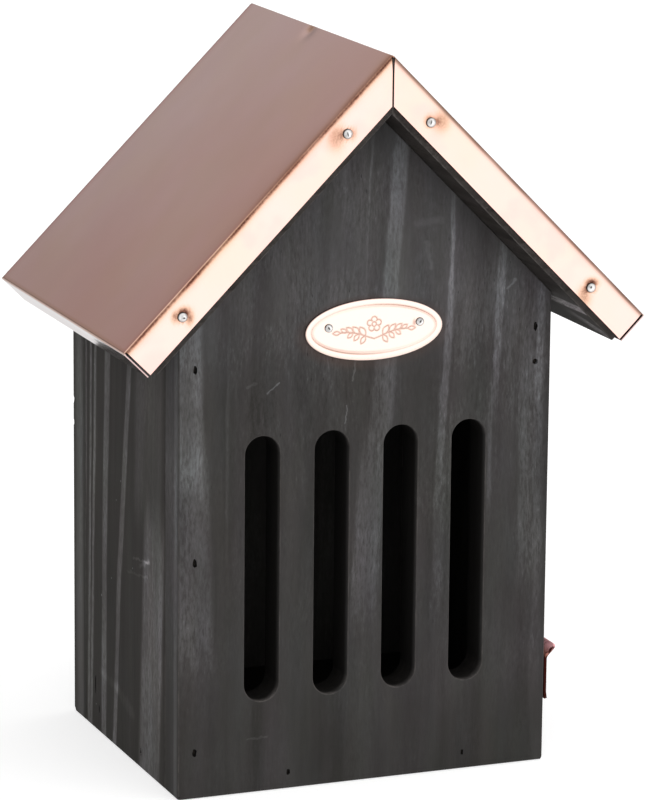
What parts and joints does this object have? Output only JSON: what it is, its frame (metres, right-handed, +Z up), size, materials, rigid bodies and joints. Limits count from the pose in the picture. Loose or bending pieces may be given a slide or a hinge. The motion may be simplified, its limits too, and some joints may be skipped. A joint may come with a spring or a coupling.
{
  "type": "butterfly house",
  "caption": "Gabled wooden butterfly house with tall round-ended slots, a side door on pivot nails, a turn button, an oval plaque and a folded copper roof.",
  "frame": {"origin": "middle of the bounding box's underside, on the surface the house stands on", "axes": "+Z up, -Y out of the front with the slots, +X out of the side with the door"},
  "size_m": [0.18, 0.1294, 0.2446],
  "materials": {
    "stained_wood": "satin charcoal stain",
    "copper": "bright rolled copper sheet",
    "steel": "bright galvanised"
  },
  "bodies": {
    "house": {"front_panel": "stained_wood", "back_panel": "stained_wood", "left_side_panel": "stained_wood", "floor_board": "stained_wood", "side_rail": "stained_wood", "left_roof_board": "stained_wood", "right_roof_board": "stained_wood", "copper_roof": "copper", "flange_nails": "steel", "plaque": "copper", "plaque_nails": "steel", "front_brads": "steel", "back_brads": "steel", "side_brads": "steel", "roof_brads": "steel", "door_pivot_nails": "steel", "button_screw": "steel", "hanger_plate": "steel", "hanger_screws": "steel"},
    "door": {"side_door": "stained_wood"},
    "button": {"turn_button": "copper"}
  },
  "joints": [
    {"name": "door_hinge", "type": "hinge", "parent": "house", "child": "door", "pos_m": [0.0595, 0.0085, 0.1375], "axis": [0, -1, 0], "range_deg": [0, 96]},
    {"name": "button_turn", "type": "hinge", "parent": "house", "child": "button", "pos_m": [0.0658, -0.0385, 0.0255], "axis": [-1, 0, 0], "continuous": true}
  ]
}
